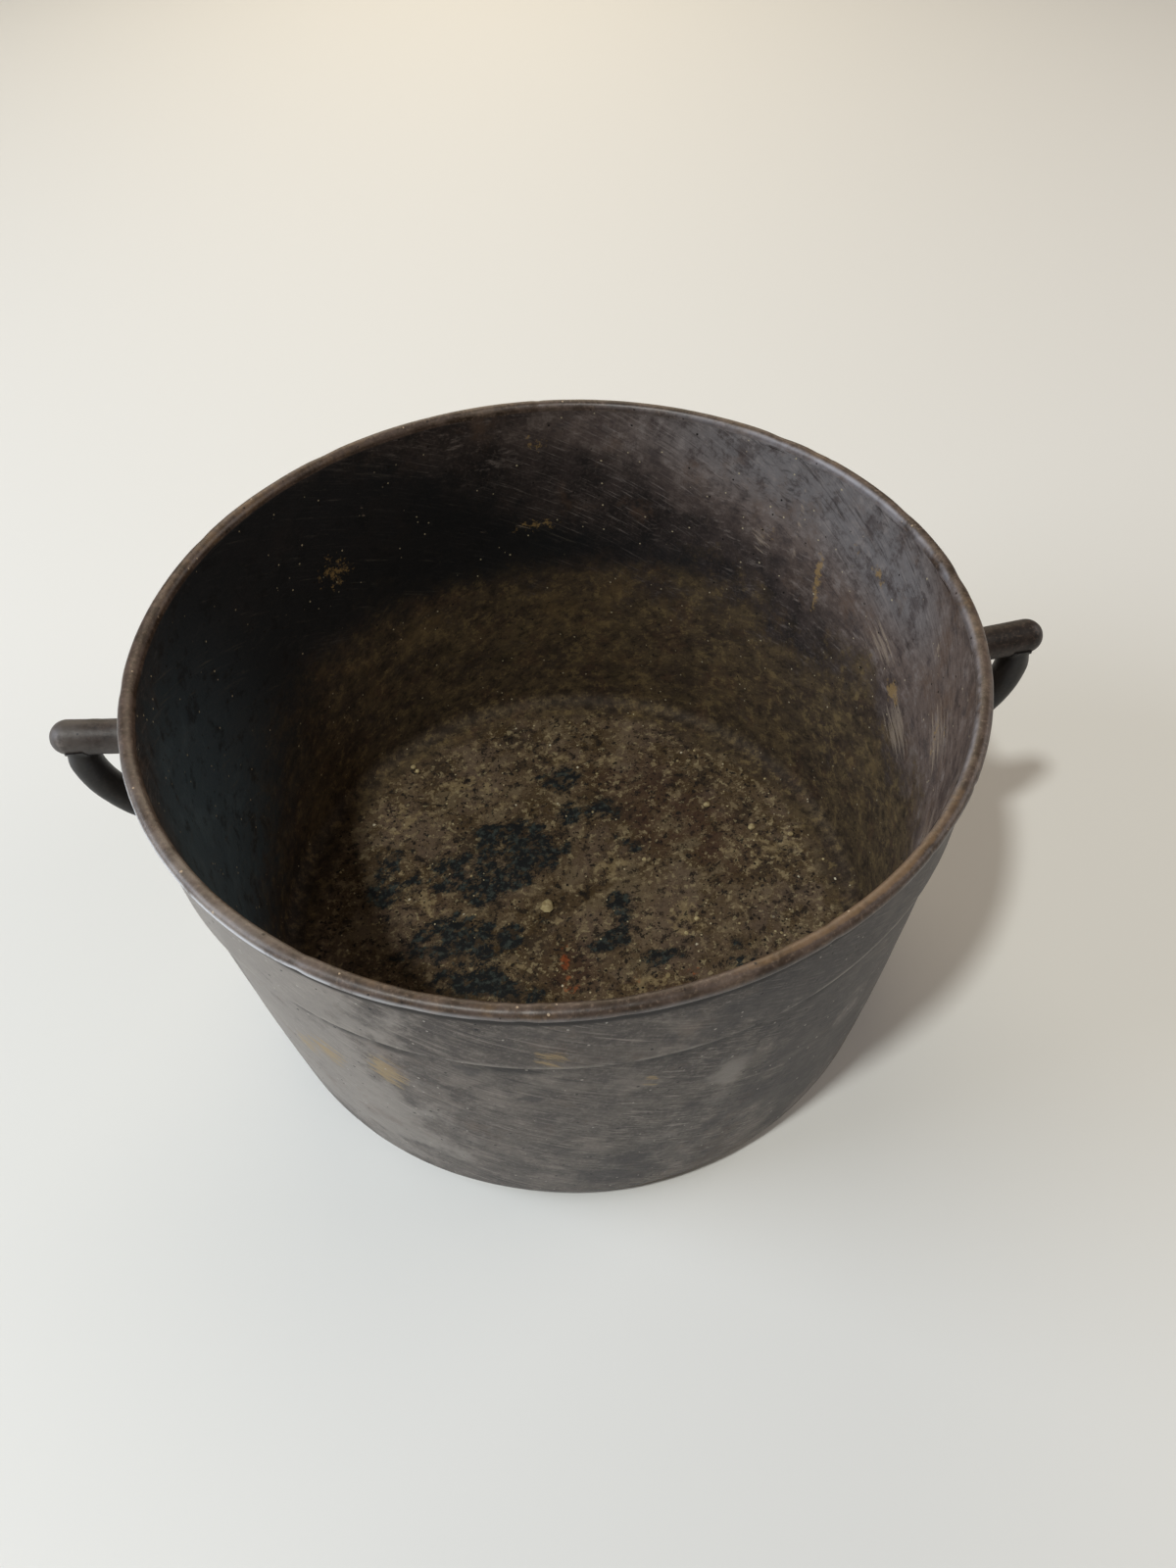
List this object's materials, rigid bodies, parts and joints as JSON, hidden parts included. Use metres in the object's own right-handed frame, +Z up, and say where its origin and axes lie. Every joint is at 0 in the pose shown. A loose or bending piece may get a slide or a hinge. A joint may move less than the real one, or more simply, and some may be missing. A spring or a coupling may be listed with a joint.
{
  "type": "cast iron dutch oven",
  "caption": "Open round cast iron cooking pot with a flat bottom, tapering walls, a raised band under a rolled lip, and bail ears at opposite sides.",
  "frame": {"origin": "centre of the flat underside, on the surface that the pot stands on", "axes": "+Z up along the pot's axis, +X towards the right ear, +Y to the back"},
  "size_m": [0.3724, 0.3048, 0.176],
  "materials": {
    "outside_iron": "bare seasoned grey iron, satin, fine grained as cast, with scratches and brown stains",
    "inside_iron": "seasoned black-brown iron, matte, with brown rust, ochre residue and black char",
    "lip_iron": "worn brown-grey iron, satin, polished at the corner",
    "ear_iron": "brown-grey seasoned iron, satin, as cast"
  },
  "bodies": {
    "root": {"floor_plate": "inside_iron", "heel_ring": "outside_iron", "side_wall": "outside_iron", "rim_band": "outside_iron", "rim_lip": "lip_iron", "left_ear_bar": "ear_iron", "left_ear_strut": "ear_iron", "right_ear_bar": "ear_iron", "right_ear_strut": "ear_iron"}
  },
  "joints": []
}
